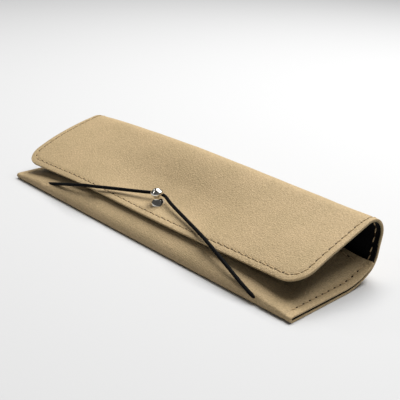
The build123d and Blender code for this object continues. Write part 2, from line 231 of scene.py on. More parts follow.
def pocket_height(x, y):
    """Height of the pocket's outer face behind the front wall."""
    floor = pocket_floor(y)
    sink = MOUTH_DROP * ((y - FLAP_FRONT) / (MOUTH_END - MOUTH_DIP - FLAP_FRONT)) ** 2
    full = flap_height(x, min(y, CREST_END[0])) - SANDWICH - FLAP_GAP - sink
    return floor + swell(x) * (full - floor)


def flap_half_width(y):
    """Half the strip's width at the spine and on the flap, before its corners are rounded."""
    share = (DEPTH - y) / (DEPTH - FLAP_FRONT)
    return SPINE_HALF - FLAP_TAPER * share


# %% [markdown]
# ## From a grid of points to a sheet
# Each ply is a closed sheet between two depths below a grid of points on the leather's outer
# face, with rounded cut edges. Where two pieces of one ply meet, the sheet is left open, so that
# the light runs across the join. The flat map of each sheet, in millimetres, carries the grain.


# %% Sheet builder
def grid_normals(grid):
    """Unit normals of a grid of points, pointing out of the leather."""
    across = np.gradient(grid, axis=1)
    along = np.gradient(grid, axis=0)
    normal = np.cross(along, across)
    return normal / np.linalg.norm(normal, axis=2, keepdims=True)


def flat_map(grid):
    """Each grid point's place on the flat cut of the sheet, in millimetres."""
    steps = np.linalg.norm(np.diff(grid, axis=0), axis=2)
    run = np.vstack([np.zeros(grid.shape[1]), np.cumsum(steps, axis=0)])
    return np.dstack([grid[:, :, 0], run])


def rim_paths(rows, cols, open_first, open_last):
    """The free edges of a grid as lists of (row, column), with the sheet on their left."""
    left = [(i, 0) for i in range(rows)]
    last = [(rows - 1, j) for j in range(cols)]
    right = [(i, cols - 1) for i in reversed(range(rows))]
    first = [(0, j) for j in reversed(range(cols))]
    if open_first and open_last:
        return [left, right], False
    if open_first:
        return [left + last[1:] + right[1:]], False
    if open_last:
        return [right + first[1:] + left[1:]], False
    return [left + last[1:] + right[1:] + first[1:-1]], True


def outward_of(points, normals, closed):
    """Unit vectors in the sheet's plane, out across its rim."""
    if closed:
        ahead = np.roll(points, -1, axis=0) - np.roll(points, 1, axis=0)
    else:
        ahead = np.gradient(points, axis=0)
    out = np.cross(ahead, normals)
    return out / np.linalg.norm(out, axis=1, keepdims=True)


def link(vertices, faces, uvs, name, material):
    """A smooth mesh object from millimetre points, with its flat map as uvs."""
    mesh = bpy.data.meshes.new(name)
    mesh.from_pydata([tuple(np.asarray(v) * MM) for v in vertices], [], faces)
    mesh.update()
    layer = mesh.uv_layers.new(name="flat")
    at = np.array([loop.vertex_index for loop in mesh.loops])
    layer.data.foreach_set("uv", np.asarray(uvs, float)[at].ravel())
    mesh.polygons.foreach_set("use_smooth", [True] * len(mesh.polygons))
    mesh.materials.append(material)
    return add_object(name, mesh)


def bridge(first, rings, sides):
    """Faces between rings of points that follow each other from an index."""
    faces = []
    for a in range(first, first + (rings - 1) * sides, sides):
        for n in range(sides):
            m = (n + 1) % sides
            faces.append((a + n, a + m, a + sides + m, a + sides + n))
    return faces


def sharpen(obj, caps):
    """Turn the faces outwards and keep the light from running over the caps' edges."""
    mesh = obj.data
    work = bmesh.new()
    work.from_mesh(mesh)
    bmesh.ops.recalc_face_normals(work, faces=work.faces)
    work.faces.ensure_lookup_table()
    for index in caps:
        for edge in work.faces[index].edges:
            edge.smooth = False
    work.to_mesh(mesh)
    work.free()


def sheet(name, grid, ply, material, marks, edge=0.2, inset=0.0, open_first=False, open_last=False):
    """A ply of the strip with rounded edges; its free edges lie RIM outside the grid's border.

    marks are the grid points' distances to the cut edge and to the stitch row."""
    rows, cols = grid.shape[:2]
    size = rows * cols
    normals = grid_normals(grid)
    uv = flat_map(grid)
    edge = min(edge, (ply[1] - ply[0]) * 0.48)
    paths, closed = rim_paths(rows, cols, open_first, open_last)
    vertices = [(grid - normals * depth).reshape(-1, 3) for depth in ply]
    uvs = [uv.reshape(-1, 2)] * 2
    marked = [np.dstack(marks).reshape(-1, 2)] * 2
    faces = []
    for i in range(rows - 1):
        for j in range(cols - 1):
            a, b = i * cols + j, (i + 1) * cols + j
            faces.append((a, b, b + 1, a + 1))
            faces.append((size + a, size + a + 1, size + b + 1, size + b))
    turns = [math.radians(a) for a in (0, 30, 60, 90)]
    flat_reach = RIM - inset - edge
    upper = [(flat_reach + edge * math.sin(a), ply[0] + edge * (1 - math.cos(a))) for a in turns]
    lower = [(flat_reach + edge * math.sin(a), ply[1] - edge * (1 - math.cos(a))) for a in reversed(turns)]
    profile = upper + lower
    base = 2 * size
    ends = []
    for path in paths:
        at = tuple(np.array(path).T)
        out = outward_of(grid[at], normals[at], closed)
        count = len(path)
        for reach, depth in profile:
            vertices.append(grid[at] - normals[at] * depth + out * reach)
            uvs.append(uv[at] + (out * reach)[:, :2])
            marked.append(np.column_stack([marks[0][at] - reach, marks[1][at] + reach]))
        grid_index = [i * cols + j for i, j in path]
        rings = [grid_index]
        rings += [[base + k * count + n for n in range(count)] for k in range(len(profile))]
        rings.append([size + n for n in grid_index])
        for above, below in zip(rings, rings[1:]):
            for n in range(count if closed else count - 1):
                m = (n + 1) % count
                faces.append((above[n], below[n], below[m], above[m]))
        ends += [[ring[0] for ring in rings], [ring[-1] for ring in rings]]
        base += count * len(profile)
    caps = []
    if not closed:
        for row in [0] * open_first + [rows - 1] * open_last:
            for j in range(cols - 1):
                a = row * cols + j
                caps.append((a, a + 1, size + a + 1, size + a))
        caps += [tuple(end) for end in ends]
    obj = link(np.vstack(vertices), faces + caps, np.vstack(uvs), name, material)
    sharpen(obj, range(len(faces), len(faces) + len(caps)))
    marked = np.vstack(marked)
    for k, mark in enumerate(("edge_mm", "row_mm")):
        layer = obj.data.attributes.new(mark, "FLOAT", "POINT")
        layer.data.foreach_set("value", marked[:, k].astype(np.float32))
    return obj


# %% [markdown]
# ## Materials
# The leather is polyurethane leather: a coloured film embossed with a fine grain, on cloth. It is
# a little glossy on the tops of the grain and matt between them, so it has a soft sheen and no
# hard reflection. Its nodes work in the flat map's millimetres, so that the grain keeps its size
# on every sheet. Shade is painted into the colour: darker in the grain's creases, and darker
# near the stitch row, in the groove that the thread pulls down.


# %% Node helper and colours
def linear(hex_colour):
    """A linear colour from an sRGB hex value."""
    channels = [int(hex_colour[k : k + 2], 16) / 255 for k in (1, 3, 5)]
    return [c / 12.92 if c <= 0.04045 else ((c + 0.055) / 1.055) ** 2.4 for c in channels] + [1.0]


def add_node(tree, kind, inputs=(), **settings):
    """Add a node, set it up, and set or link its inputs."""
    node = tree.nodes.new(kind)
    for name, value in settings.items():
        setattr(node, name, value)
    for name, value in dict(inputs).items():
        if isinstance(value, bpy.types.NodeSocket):
            tree.links.new(value, node.inputs[name])
        else:
            node.inputs[name].default_value = value
    return node


def new_material(name):
    """An empty node material and its output."""
    material = bpy.data.materials.new(name)
    material.use_nodes = True
    tree = material.node_tree
    tree.nodes.clear()
    return material, tree, tree.nodes.new("ShaderNodeOutputMaterial")


# %% Polyurethane leather
GRAIN = 0.55
STREAK = 0.26
PATCH = 14.0


def make_pu_leather():
    """Beige polyurethane leather with a fine embossed grain."""
    material, tree, out = new_material("pu_leather")
    flat = add_node(tree, "ShaderNodeUVMap", uv_map="flat").outputs["UV"]
    row = add_node(tree, "ShaderNodeAttribute", attribute_name="row_mm").outputs["Fac"]
    edge = add_node(tree, "ShaderNodeAttribute", attribute_name="edge_mm").outputs["Fac"]
    grain = add_node(
        tree, "ShaderNodeTexVoronoi", {"Vector": flat, "Scale": 1 / GRAIN, "Randomness": 0.9}
    ).outputs["Distance"]
    streaks = []
    for stretch in ((1 / STREAK, 0.22 / STREAK, 1), (0.22 / STREAK, 1 / STREAK, 1)):
        moved = add_node(tree, "ShaderNodeMapping", {"Vector": flat, "Scale": stretch}).outputs["Vector"]
        noise_node = add_node(
            tree, "ShaderNodeTexNoise", {"Vector": moved, "Scale": 0.8, "Detail": 2.0, "Roughness": 0.6}
        )
        streaks.append(noise_node.outputs["Fac"])
    weave = add_node(tree, "ShaderNodeMath", {0: streaks[0], 1: streaks[1]}, operation="ADD")
    patches = add_node(
        tree, "ShaderNodeTexNoise", {"Vector": flat, "Scale": 1 / PATCH, "Detail": 3.0, "Roughness": 0.55}
    ).outputs["Fac"]
    tone = add_node(tree, "ShaderNodeMapRange", {"Value": patches, "From Min": 0.3, "From Max": 0.7})
    body_inputs = {"Factor": tone.outputs["Result"], 6: linear("#bca47b"), 7: linear("#c5ab82")}
    body = add_node(tree, "ShaderNodeMix", body_inputs, data_type="RGBA")
    # What darkens or lightens the body colour: the weave's flecks, painted shade in the grain's
    # creases with lighter tops, painted shade in the stitch groove, and the lighter cut rim.
    factors = (
        (weave.outputs[0], 0.75, 1.25, 0.85, 1.1, "LINEAR"),
        # painted shade and light: the grain's creases darker, its tops a little lighter
        (grain, 0.1, 0.75, 1.05, 0.86, "LINEAR"),
        # painted shade: darker along the groove that the stitch row pulls down
        (row, 0.1, 0.7, 0.93, 1.0, "SMOOTHSTEP"),
        (edge, 0.0, 0.5, 1.04, 1.0, "LINEAR"),
    )
    shade = None
    for value, low, high, at_low, at_high, curve in factors:
        ends = {"Value": value, "From Min": low, "From Max": high, "To Min": at_low, "To Max": at_high}
        factor = add_node(tree, "ShaderNodeMapRange", ends, interpolation_type=curve).outputs["Result"]
        if shade is None:
            shade = factor
        else:
            shade = add_node(tree, "ShaderNodeMath", {0: shade, 1: factor}, operation="MULTIPLY").outputs[0]
    colour = add_node(
        tree, "ShaderNodeVectorMath", {0: body.outputs[2], "Scale": shade}, operation="SCALE"
    ).outputs[0]
    reliefs = []
    heights = ((grain, 0.0, 0.8, 0.09, 0.0), (weave.outputs[0], 0.6, 1.4, 0.0, 0.2))
    for value, low, high, at_low, at_high in heights:
        ends = {"Value": value, "From Min": low, "From Max": high, "To Min": at_low, "To Max": at_high}
        reliefs.append(add_node(tree, "ShaderNodeMapRange", ends).outputs["Result"])
    height = add_node(tree, "ShaderNodeMath", {0: reliefs[0], 1: reliefs[1]}, operation="ADD")
    bump_node = add_node(
        tree, "ShaderNodeBump", {"Height": height.outputs[0], "Strength": 0.9, "Distance": MM}
    )
    roughness = add_node(
        tree,
        "ShaderNodeMapRange",
        {"Value": grain, "From Min": 0.0, "From Max": 0.8, "To Min": 0.5, "To Max": 0.68},
    ).outputs["Result"]
    shader = add_node(
        tree,
        "ShaderNodeBsdfPrincipled",
        {
            "Base Color": colour,
            "Roughness": roughness,
            "IOR": 1.48,
            "Specular IOR Level": 0.35,
            "Normal": bump_node.outputs["Normal"],
        },
    )
    tree.links.new(shader.outputs["BSDF"], out.inputs["Surface"])
    return material


pu_leather = make_pu_leather()
print("material:", pu_leather.name, len(pu_leather.node_tree.nodes), "nodes")


# %% [markdown]
# Board, lining, thread and elastic are all fibres, so one recipe serves: a base colour that a
# noise varies, a woven relief at the real thread spacing, and a rough surface with some sheen.
# The board is pressed leather fibre, the lining a short black flock, the thread bonded polyester,
# the elastic a braid of black polyester over rubber.


# %% Fibre materials
def make_fibre(name, dark, light, spacing, relief, roughness, sheen):
    """A matt fibrous surface whose fibres lie that many millimetres apart."""
    material, tree, out = new_material(name)
    place = add_node(tree, "ShaderNodeTexCoord").outputs["Object"]
    place = add_node(tree, "ShaderNodeVectorMath", {0: place, "Scale": 1 / MM}, operation="SCALE").outputs[0]
    fibres = add_node(
        tree, "ShaderNodeTexNoise", {"Vector": place, "Scale": 1 / spacing, "Detail": 3.0}
    ).outputs["Fac"]
    spread = add_node(tree, "ShaderNodeMapRange", {"Value": fibres, "From Min": 0.3, "From Max": 0.7})
    mixed_inputs = {"Factor": spread.outputs["Result"], 6: linear(dark), 7: linear(light)}
    mixed = add_node(tree, "ShaderNodeMix", mixed_inputs, data_type="RGBA")
    bump_node = add_node(
        tree, "ShaderNodeBump", {"Height": fibres, "Strength": 0.8, "Distance": relief * MM}
    )
    shader = add_node(
        tree,
        "ShaderNodeBsdfPrincipled",
        {
            "Base Color": mixed.outputs[2],
            "Roughness": roughness,
            "IOR": 1.5,
            "Specular IOR Level": 0.2,
            "Sheen Weight": sheen,
            "Sheen Roughness": 0.5,
            "Normal": bump_node.outputs["Normal"],
        },
    )
    tree.links.new(shader.outputs["BSDF"], out.inputs["Surface"])
    return material


fibre_board = make_fibre("fibre_board", "#8d7c5c", "#a99a78", 0.5, 0.15, 0.85, 0.0)
inked_board = make_fibre("inked_board", "#0c0a08", "#16130f", 0.5, 0.15, 0.9, 0.0)
black_flock = make_fibre("black_flock", "#020304", "#07080a", 0.3, 0.12, 0.95, 0.02)
bonded_thread = make_fibre("bonded_thread", "#a98f68", "#c9b087", 0.12, 0.05, 0.6, 0.1)
# painted shadow: the dark brown of the needle holes, laid as a flat lens between stitches
painted_hole_shade = make_fibre("painted_hole_shade", "#2c2013", "#43321f", 0.2, 0.02, 0.9, 0.0)


# %% [markdown]
# The stud is brass with a bright nickel plating: an almost perfect mirror, faintly warm, with
# fine polishing lines that only soften its reflections. The elastic's braid has a slight gloss.


# %% Nickel and braid
def make_nickel():
    """Polished nickel plate."""
    material, tree, out = new_material("nickel_plate")
    place = add_node(tree, "ShaderNodeTexCoord").outputs["Object"]
    scratches = add_node(tree, "ShaderNodeTexNoise", {"Vector": place, "Scale": 900.0, "Detail": 2.0})
    roughness = add_node(
        tree,
        "ShaderNodeMapRange",
        {"Value": scratches.outputs["Fac"], "From Min": 0.3, "From Max": 0.7, "To Min": 0.1, "To Max": 0.2},
    ).outputs["Result"]
    shader = add_node(
        tree,
        "ShaderNodeBsdfPrincipled",
        {"Base Color": linear("#dcd8d0"), "Metallic": 1.0, "Roughness": roughness},
    )
    tree.links.new(shader.outputs["BSDF"], out.inputs["Surface"])
    return material


def make_braid():
    """Black braided cover: two sets of fine yarns crossing round the cord."""
    material, tree, out = new_material("black_braid")
    flat = add_node(tree, "ShaderNodeUVMap", uv_map="flat").outputs["UV"]
    yarns = []
    for lean in (1.0, -1.0):
        turned = add_node(
            tree, "ShaderNodeMapping", {"Vector": flat, "Rotation": (0, 0, lean * math.radians(52))}
        ).outputs["Vector"]
        yarns.append(
            add_node(
                tree, "ShaderNodeTexWave", {"Vector": turned, "Scale": 0.75, "Distortion": 0.6}
            ).outputs["Fac"]
        )
    crossing = add_node(tree, "ShaderNodeMath", {0: yarns[0], 1: yarns[1]}, operation="MAXIMUM")
    bump_node = add_node(
        tree, "ShaderNodeBump", {"Height": crossing.outputs[0], "Strength": 0.6, "Distance": 0.06 * MM}
    )
    tone_inputs = {"Factor": crossing.outputs[0], 6: linear("#020202"), 7: linear("#0a0a0b")}
    tone = add_node(tree, "ShaderNodeMix", tone_inputs, data_type="RGBA")
    shader = add_node(
        tree,
        "ShaderNodeBsdfPrincipled",
        {
            "Base Color": tone.outputs[2],
            "Roughness": 0.75,
            "IOR": 1.5,
            "Specular IOR Level": 0.1,
            "Normal": bump_node.outputs["Normal"],
        },
    )
    tree.links.new(shader.outputs["BSDF"], out.inputs["Surface"])
    return material


nickel_plate = make_nickel()
black_braid = make_braid()
print("materials:", [m.name for m in bpy.data.materials if m.use_nodes])


# %% [markdown]
# ## Camera
# The case is seen from its front right, from above, with the camera a little rolled.

# %% Camera
VIEW_AZIMUTH = math.radians(44.9)
VIEW_ELEVATION = math.radians(22.3)
VIEW_ROLL = math.radians(3.1)
VIEW_PLACE = (0.2149, -0.2021, 0.1317)
LENS = 67.7

camera_data = bpy.data.cameras.new("camera")
camera_data.lens = LENS
camera_data.sensor_width = 36.0
camera_data.clip_start = 0.01
camera = add_object("camera", camera_data)
ahead = Vector(
    (
        -math.sin(VIEW_AZIMUTH) * math.cos(VIEW_ELEVATION),
        math.cos(VIEW_AZIMUTH) * math.cos(VIEW_ELEVATION),
        -math.sin(VIEW_ELEVATION),
    )
)
level = Vector((math.cos(VIEW_AZIMUTH), math.sin(VIEW_AZIMUTH), 0))
upright = level.cross(ahead)
right = math.cos(VIEW_ROLL) * level + math.sin(VIEW_ROLL) * upright
upright = math.cos(VIEW_ROLL) * upright - math.sin(VIEW_ROLL) * level
camera_turn = Matrix((right, upright, -ahead)).transposed().to_4x4()
camera.matrix_world = Matrix.Translation(Vector(VIEW_PLACE)) @ camera_turn
bpy.context.scene.camera = camera
print("camera at", [round(c, 3) for c in camera.location], "lens", LENS)

# %% [markdown]
# ## Elastic cord
# One round elastic comes out of a hole near each end of the pocket's front, crosses the flap's
# edge and is hooked behind the neck of the stud. It is stretched, so its line is nearly straight
# between those places. A NURBS curve of order 3 takes the route's points as its control points,
# and a tube with a braided cover is swept along the points read back from it.

# %% Cord route
HOLES = ((-62.5, 1.4, 3.9), (69.6, 0.0, 2.0))
KNOT = (70.5, 8.5, 2.76)
route = [
    (-KNOT[0], KNOT[1], KNOT[2]),
    (-64.0, 3.0, 3.1),
    (-56.4, 2.3, 5.5),
    (-37.0, 4.9, 10.4),
    (-31.0, 5.6, 11.5),
    (-24.0, 8.6, 12.3),
    (-7.6, 15.1, 14.1),
    (-2.3, 17.45, 14.9),
    (2.3, 17.45, 14.9),
    (7.6, 15.1, 14.1),
    (32.0, 8.0, 12.1),
    (39.0, 5.6, 11.5),
    (45.0, 4.4, 9.9),
    (63.4, 0.7, 4.3),
    (70.6, 0.6, 1.9),
    KNOT,
]
curve = bpy.data.curves.new("cord_route", "CURVE")
curve.dimensions = "3D"
curve.resolution_u = 16
spline = curve.splines.new("NURBS")
spline.points.add(len(route) - 1)
for point, (x, y, z) in zip(spline.points, route):
    point.co = (x * MM, (FRONT + y) * MM, z * MM, 1.0)
spline.order_u = 3
spline.use_endpoint_u = True
guide = bpy.data.objects.new("cord_route", curve)
read = bpy.data.meshes.new_from_object(guide)
path = np.array([v.co for v in read.vertices]) / MM
bpy.data.meshes.remove(read)
bpy.data.objects.remove(guide)


# %% Swept tube
def tube(name, line, radius, material, sides=16):
    """A round tube along a line of millimetre points, without twist, and its flat map."""
    line = np.asarray(line, float)
    ahead = np.gradient(line, axis=0)
    ahead /= np.linalg.norm(ahead, axis=1, keepdims=True)
    side = np.cross(ahead[0], (0, 0, 1.0))
    run = np.concatenate([[0], np.cumsum(np.linalg.norm(np.diff(line, axis=0), axis=1))])
    turns = np.linspace(0, 2 * math.pi, sides, endpoint=False)
    vertices, uvs = [], []
    radii = np.broadcast_to(radius, len(line))
    for at, forward, along, r in zip(line, ahead, run, radii):
        side = side - forward * side.dot(forward)
        side /= np.linalg.norm(side)
        other = np.cross(forward, side)
        for t in turns:
            vertices.append(at + r * (math.cos(t) * side + math.sin(t) * other))
            uvs.append((t * r, along))
    faces = bridge(0, len(line), sides)
    faces.append(tuple(reversed(range(sides))))
    faces.append(tuple(range((len(line) - 1) * sides, len(line) * sides)))
    return link(vertices, faces, uvs, name, material)


elastic = tube("elastic_cord_braid", path, CORD / 2, black_braid)
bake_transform(elastic)
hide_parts("elastic_cord")
for name in ("left_knot", "right_knot"):
    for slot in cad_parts[name].material_slots:
        slot.material = black_flock

# %% [markdown]
# ## Leather
# The strip is made in three sheets that meet edge to edge: the pocket with its front fold and the
# flat bottom, the rise up the back, and the crest with the flap. They split where the light shows
# no seam. A slow noise makes the leather a little uneven, as soft leather is over thin board, and
# every sheet sinks along its stitch row.


# %% Surface detail
GROOVE_DEPTH = 0.16
GROOVE_WIDTH = 0.6
PRESS_DEPTH = 0.10
PRESS_WIDTH = 0.8
WAVE_FADE = 6.0
FAR = 40.0
DIMPLE_DEPTH = 0.5
DIMPLE_WIDTH = 1.3


def unevenness(x, run):
    """Slow waves of the leather, in millimetres."""
    slow = noise.noise(Vector((x / 21, run / 16, 3.7)))
    quick = noise.noise(Vector((x / 8, run / 7, 9.1)))
    return 0.16 * slow + 0.05 * quick


def sunk(grid, marks, wave=1.0, run_start=0.0):
    """The grid with its stitch groove, its soft edge and its unevenness."""
    edge_distance, row_distance = marks
    normals = grid_normals(grid)
    flat = flat_map(grid)
    groove = GROOVE_DEPTH * np.exp(-((row_distance / GROOVE_WIDTH) ** 2))
    pressed = PRESS_DEPTH * np.exp(-np.maximum(edge_distance, 0) / PRESS_WIDTH)
    fade = np.clip(edge_distance / WAVE_FADE, 0, 1)
    slow = [[unevenness(x, run_start + run) for x, run in line] for line in flat]
    return grid + normals * (wave * fade * np.array(slow) - groove - pressed)[:, :, None]


def half_columns(half):
    """x of the columns where the strip has that half width, dense near the ends and the holes."""
    inboard = (0.0, 0.4, 0.9, 1.3, 1.65, 2.0, 2.35, 2.7, 3.1, 3.6, 4.4, 5.6, 7.0)
    near = [half - step for step in inboard]
    around_hole = (2.4, 1.6, 1.1, 0.7, 0.35, 0, -0.35, -0.7, -1.1, -1.6, -2.4)
    hole = [abs(centre[0]) + step for centre in HOLES for step in around_hole]
    between = [near[-1] - 1.5 * k for k in range(1, 60) if near[-1] - 1.5 * k > 0.7]
    between = [x for x in between if all(abs(x - abs(centre[0])) > 3.0 for centre in HOLES)]
    positive = sorted(near + hole + between, reverse=True)
    return np.array([-x for x in positive] + [0.0] + positive[::-1])


WIDE = HALF - RIM
COLUMNS = half_columns(WIDE)


def section_grid(section):
    """A grid of points with one section per column."""
    lines = [section(x) for x in COLUMNS]
    grid = np.zeros((len(lines[0]), len(COLUMNS), 3))
    for j, (x, line) in enumerate(zip(COLUMNS, lines)):
        for i, (y, z) in enumerate(line):
            grid[i, j] = (x, FRONT + y, z)
    return grid


# %% Pocket, front fold and flat bottom
WALL_STEPS = 4


def catmull(points, steps):
    """A smooth line through points, with so many steps on each run."""
    points = [np.array(p, float) for p in points]
    padded = [2 * points[0] - points[1]] + points + [2 * points[-1] - points[-2]]
    line = []
    for k in range(1, len(padded) - 2):
        a, b, c, d = padded[k - 1 : k + 3]
        for n in range(steps):
            t = n / steps
            square = (2 * a - 5 * b + 4 * c - d) * t**2
            cube = (3 * b - a - 3 * c + d) * t**3
            line.append(0.5 * (2 * b + (c - a) * t + square + cube))
    return line + [points[-1]]


def front_wall(x):
    """(y, z) down the front wall, from under the flap's edge to the fold."""
    top = pocket_height(x, FLAP_FRONT)
    bulge = swell(x)
    places = ((2.2, 1.0, 0.68), (0.55, 0.91, 0.42), (0.0, 0.62, 0.20))
    wall = [(y, top * (flat + (full - flat) * bulge)) for y, flat, full in places]
    above = [(y, pocket_height(x, y)) for y in (8.0, FLAP_FRONT)]
    fold_height = wall[-1][1]
    radius = min(FOLD_RADIUS, fold_height)
    turns = [math.radians(a) for a in (22, 45, 68)]
    fold = [(radius * (1 - math.cos(a)), fold_height * (1 - math.sin(a))) for a in turns]
    line = catmull(above + wall + fold + [(radius, 0.0)], WALL_STEPS)
    return line[WALL_STEPS + 1 :]


TOP_SHARES = [1 - s for s in (0, 0.013, 0.03, 0.045, 0.06, 0.075, 0.085, 0.095, 0.11, 0.14, 0.18)]
TOP_SHARES += [0.77 - 0.07 * k for k in range(11)] + [0.0]
BOTTOM = [2.5, 4.5, 8.0, 12.0, 16.0, 20.0, 24.0, 28.0, FLAT]


def pocket_line(x):
    """(y, z) of the pocket's sheet: from its mouth to the front, round the fold and under."""
    back = mouth(x) - RIM
    top = [FLAP_FRONT + (back - FLAP_FRONT) * share for share in TOP_SHARES]
    line = [(y, pocket_height(x, y)) for y in top]
    line += [tuple(p) for p in front_wall(x)]
    return line + [(y, 0.0) for y in BOTTOM]


def seam_marks(grid, mouth_side=False):
    """Distances to the cut edge and to the stitch row on the pocket and the back."""
    from_end = HALF - np.abs(grid[:, :, 0])
    edge_distance = from_end
    row_distance = np.abs(from_end - SEAM_INSET)
    if mouth_side:
        top_rows = len(TOP_SHARES)
        behind = np.array([mouth(x) for x in COLUMNS]) - (grid[:, :, 1] - FRONT)
        behind[top_rows:] = FAR
        edge_distance = np.minimum(from_end, behind)
        across = np.where(from_end > SEAM_INSET, np.abs(behind - EDGE_ROW), FAR)
        row_distance = np.minimum(row_distance, across)
    return edge_distance, row_distance


def hole_dimple(grid, normals):
    """The leather draws in where the elastic pulls on its holes."""
    pulled = np.zeros(grid.shape[:2])
    for x, y, z in HOLES:
        centre = np.array((x, FRONT + y, z))
        away = np.linalg.norm(grid - centre, axis=2)
        pulled += DIMPLE_DEPTH * np.exp(-((away / DIMPLE_WIDTH) ** 2))
    return grid - normals * pulled[:, :, None]


pocket_grid = section_grid(pocket_line)
pocket_marks = seam_marks(pocket_grid, mouth_side=True)
off_table = np.clip(pocket_grid[:, :, 2] / 3, 0, 1)
pocket_grid = sunk(pocket_grid, pocket_marks, wave=off_table)
pocket_grid = hole_dimple(pocket_grid, grid_normals(pocket_grid))
pocket_leather = sheet("pocket_leather", pocket_grid, LEATHER_PLY, pu_leather, pocket_marks, open_last=True)
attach(pocket_leather, "base")
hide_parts("pocket_panel")
print("pocket leather:", pocket_grid.shape)

# %% Rise, lower bend and lower wall
WALL_SPLIT = 0.5


def wall_point(share):
    """(y, z) on the straight back wall."""
    start = around(BEND_CENTRE, BEND_RADIUS, BACK_ANGLE)
    end = around(CREST_CENTRE, CREST_RADIUS, BACK_ANGLE)
    return tuple(a + (b - a) * share for a, b in zip(start, end))


BACK_LINE = [around(RISE_CENTRE, RISE_RADIUS, a) for a in (0, 2, 5, 8, 12, 16, 20, 24)]
BACK_LINE += [around(BEND_CENTRE, BEND_RADIUS, a) for a in range(28, 80, 4)]
BACK_LINE += [wall_point(s) for s in (0.0, 0.2, 0.4, WALL_SPLIT)]
back_grid = section_grid(lambda x: BACK_LINE)
back_run = flat_map(back_grid)[:, 0, 1]
narrowing = 1 - (HALF - SPINE_HALF) / HALF * back_run / back_run[-1]
back_grid[:, :, 0] *= narrowing[:, None]
back_edges = (HALF * narrowing)[:, None] - np.abs(back_grid[:, :, 0])
back_marks = (back_edges, np.abs(back_edges - SEAM_INSET))
back_wave = np.clip(back_run / 12, 0, 1)[:, None]
back_grid = sunk(back_grid, back_marks, wave=back_wave)


def on_back(piece):
    """Bake the piece's transform into its mesh."""
    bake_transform(piece)
    return piece


def on_crest(piece):
    """Bake the piece's transform into its mesh."""
    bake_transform(piece)
    return piece


back_leather = sheet(
    "back_leather", back_grid, LEATHER_PLY, pu_leather, back_marks, open_first=True, open_last=True
)
on_back(back_leather)
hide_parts("base_panel")
print("back leather:", back_grid.shape)

# %% Upper wall, crest and flap
FLAP_BORDER = FLAP_FRONT + RIM
CORNER_IN = FLAP_CORNER - RIM
FRONT_STEPS = (7.6, 6.6, 5.7, 4.9, 4.2, 3.6, 3.1, 2.7, 2.35, 2.0, 1.7, 1.4, 1.1, 0.8, 0.5, 0.25, 0.1, 0.0)
crest_line = [wall_point(s) for s in (WALL_SPLIT, 0.6, 0.8)]
crest_line += [around(CREST_CENTRE, CREST_RADIUS, a) for a in range(int(BACK_ANGLE), 200, 5)]
turned_over = [k > 4 for k in range(len(crest_line))]
flap_ys = [CREST_END[0] - 0.9 - 1.25 * k for k in range(60)]
flap_ys = [y for y in flap_ys if y > FLAP_BORDER + CORNER_IN - 0.4] + [FLAP_BORDER + d for d in FRONT_STEPS]


def inner_half(y):
    """Half the flap's width at y, RIM inside its outline, with the round corners."""
    half = flap_half_width(y) - RIM
    step_in = y - FLAP_BORDER
    if step_in >= CORNER_IN:
        return half
    return half - CORNER_IN + math.sqrt(CORNER_IN**2 - (CORNER_IN - step_in) ** 2)


def flap_inset(x, y):
    """Distance from the flap's cut edge."""
    half = flap_half_width(y)
    corner_x = abs(x) - (half - FLAP_CORNER)
    corner_y = FLAP_FRONT + FLAP_CORNER - y
    if corner_x > 0 and corner_y > 0:
        return FLAP_CORNER - math.hypot(corner_x, corner_y)
    return min(half - abs(x), y - FLAP_FRONT)


def flap_surface():
    """The grid of the upper wall, the crest and the flap, and its distances to the cut edge."""
    rows = []
    insets = []
    for (y, z), over in zip(crest_line, turned_over):
        half = flap_half_width(y) if over else SPINE_HALF
        xs = COLUMNS * (half - RIM) / WIDE
        rows.append([(x, FRONT + y, z) for x in xs])
        insets.append([half - abs(x) for x in xs])
    for y in flap_ys:
        xs = COLUMNS * inner_half(y) / WIDE
        rows.append([(x, FRONT + y, flap_height(x, y)) for x in xs])
        insets.append([flap_inset(x, y) for x in xs])
    return np.array(rows), np.array(insets)


flap_grid, flap_edges = flap_surface()
flap_marks = (flap_edges, np.abs(flap_edges - EDGE_ROW))
flap_grid = settle(*np.moveaxis(flap_grid, 2, 0))
flap_grid = sunk(flap_grid, flap_marks, run_start=back_run[-1])
flap_leather = sheet("flap_leather", flap_grid, LEATHER_PLY, pu_leather, flap_marks, open_first=True)
on_crest(flap_leather)
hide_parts("flap_panel", "spine_panel")
print("flap leather:", flap_grid.shape)

# %% [markdown]
# ## Board and lining
# Thin board stiffens the strip, and a black flocked lining faces the glasses. They are the same
# grids at greater depths. The bottom's and the back's board is inked black, as its edge shows.
# The pocket has no board, so that it can open.

# %% Board and lining
FLAP_BOARD_INSET = 0.12  # the flap's board shows at its cut edge
INNER_INSET = 0.45  # the other inner plies end short of it
INNER_EDGE = 0.1
bottom_start = len(pocket_grid) - len(BOTTOM)
wall_rows = len(TOP_SHARES) + 8


def part_of(grid, marks, first, last):
    """Some rows of a grid, with their marks."""
    return grid[first:last], [mark[first:last] for mark in marks]


